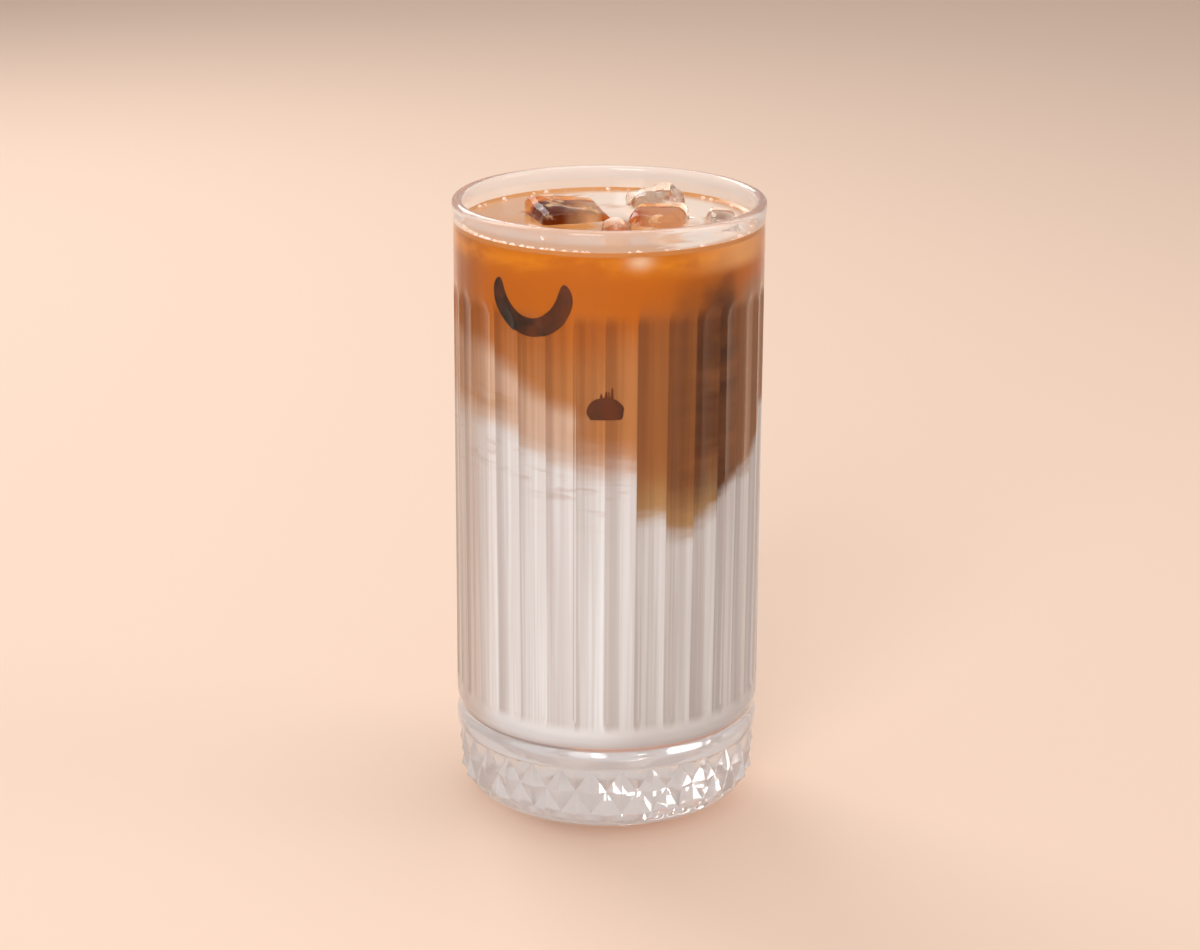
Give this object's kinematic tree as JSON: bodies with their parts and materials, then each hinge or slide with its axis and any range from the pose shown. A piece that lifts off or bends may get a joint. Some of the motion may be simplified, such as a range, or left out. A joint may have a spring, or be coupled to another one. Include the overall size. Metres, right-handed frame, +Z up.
{
  "type": "iced latte",
  "caption": "Iced latte in a tall straight glass with hollow flutes and a foot cut with diamonds, with ice cubes at the surface.",
  "frame": {"origin": "middle of the underside of the foot, on the surface that the glass stands on", "axes": "+Z up along the glass's own axis, -Y towards the viewer, +X to the right"},
  "size_m": [0.075, 0.075, 0.15],
  "materials": {
    "pressed_glass": "clear pressed glass, smooth and glossy",
    "milk": "opaque milk tinted with a little coffee, wet",
    "coffee": "milky coffee, caramel brown, darker at the right, wet",
    "ice": "wet clear ice with a frosty core"
  },
  "bodies": {
    "root": {"glass": "pressed_glass", "milk": "milk", "coffee": "coffee", "ice_left": "ice", "ice_right": "ice", "ice_back": "ice", "ice_side": "ice", "ice_tip": "ice"}
  },
  "joints": []
}
